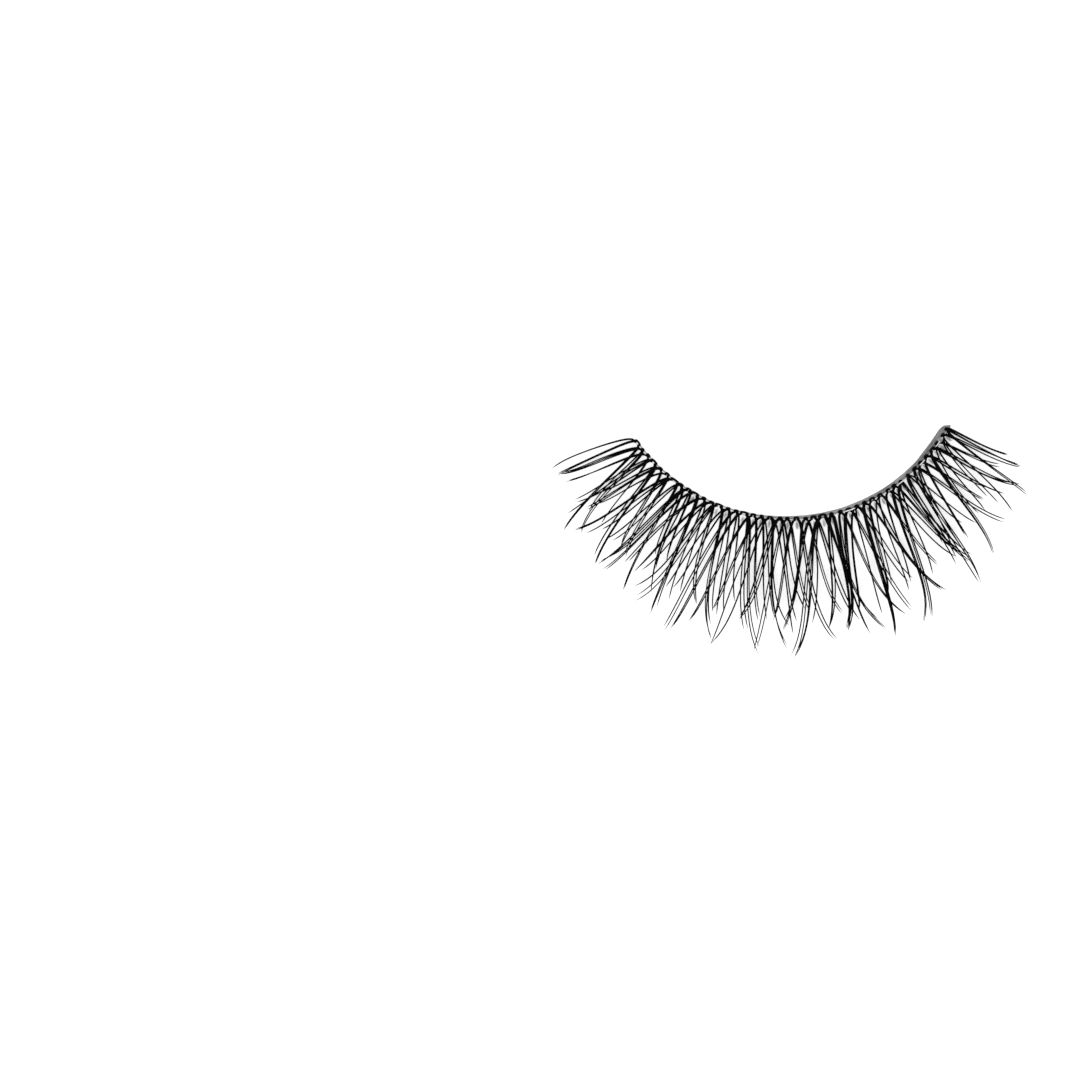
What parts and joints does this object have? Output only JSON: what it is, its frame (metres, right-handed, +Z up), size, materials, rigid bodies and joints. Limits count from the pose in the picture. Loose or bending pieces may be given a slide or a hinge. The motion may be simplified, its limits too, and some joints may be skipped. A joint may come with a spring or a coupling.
{
  "type": "false eyelash strip",
  "caption": "Black strip lash on a thin clear band, with crossed locks of hair that curl up to fine points.",
  "frame": {"origin": "on the underside of the clear band, at the middle of its curve", "axes": "+X along the strip to the outer corner of the eye, hairs towards -Y, +Z up from the table, the way the tips curl"},
  "size_m": [0.0418, 0.0205, 0.0051],
  "materials": {
    "clear_band": "translucent, glossy",
    "lash_hair": "black fibre with a soft sheen"
  },
  "bodies": {
    "root": {"clear_band": "clear_band", "lash_fringe": "lash_hair"}
  },
  "joints": []
}
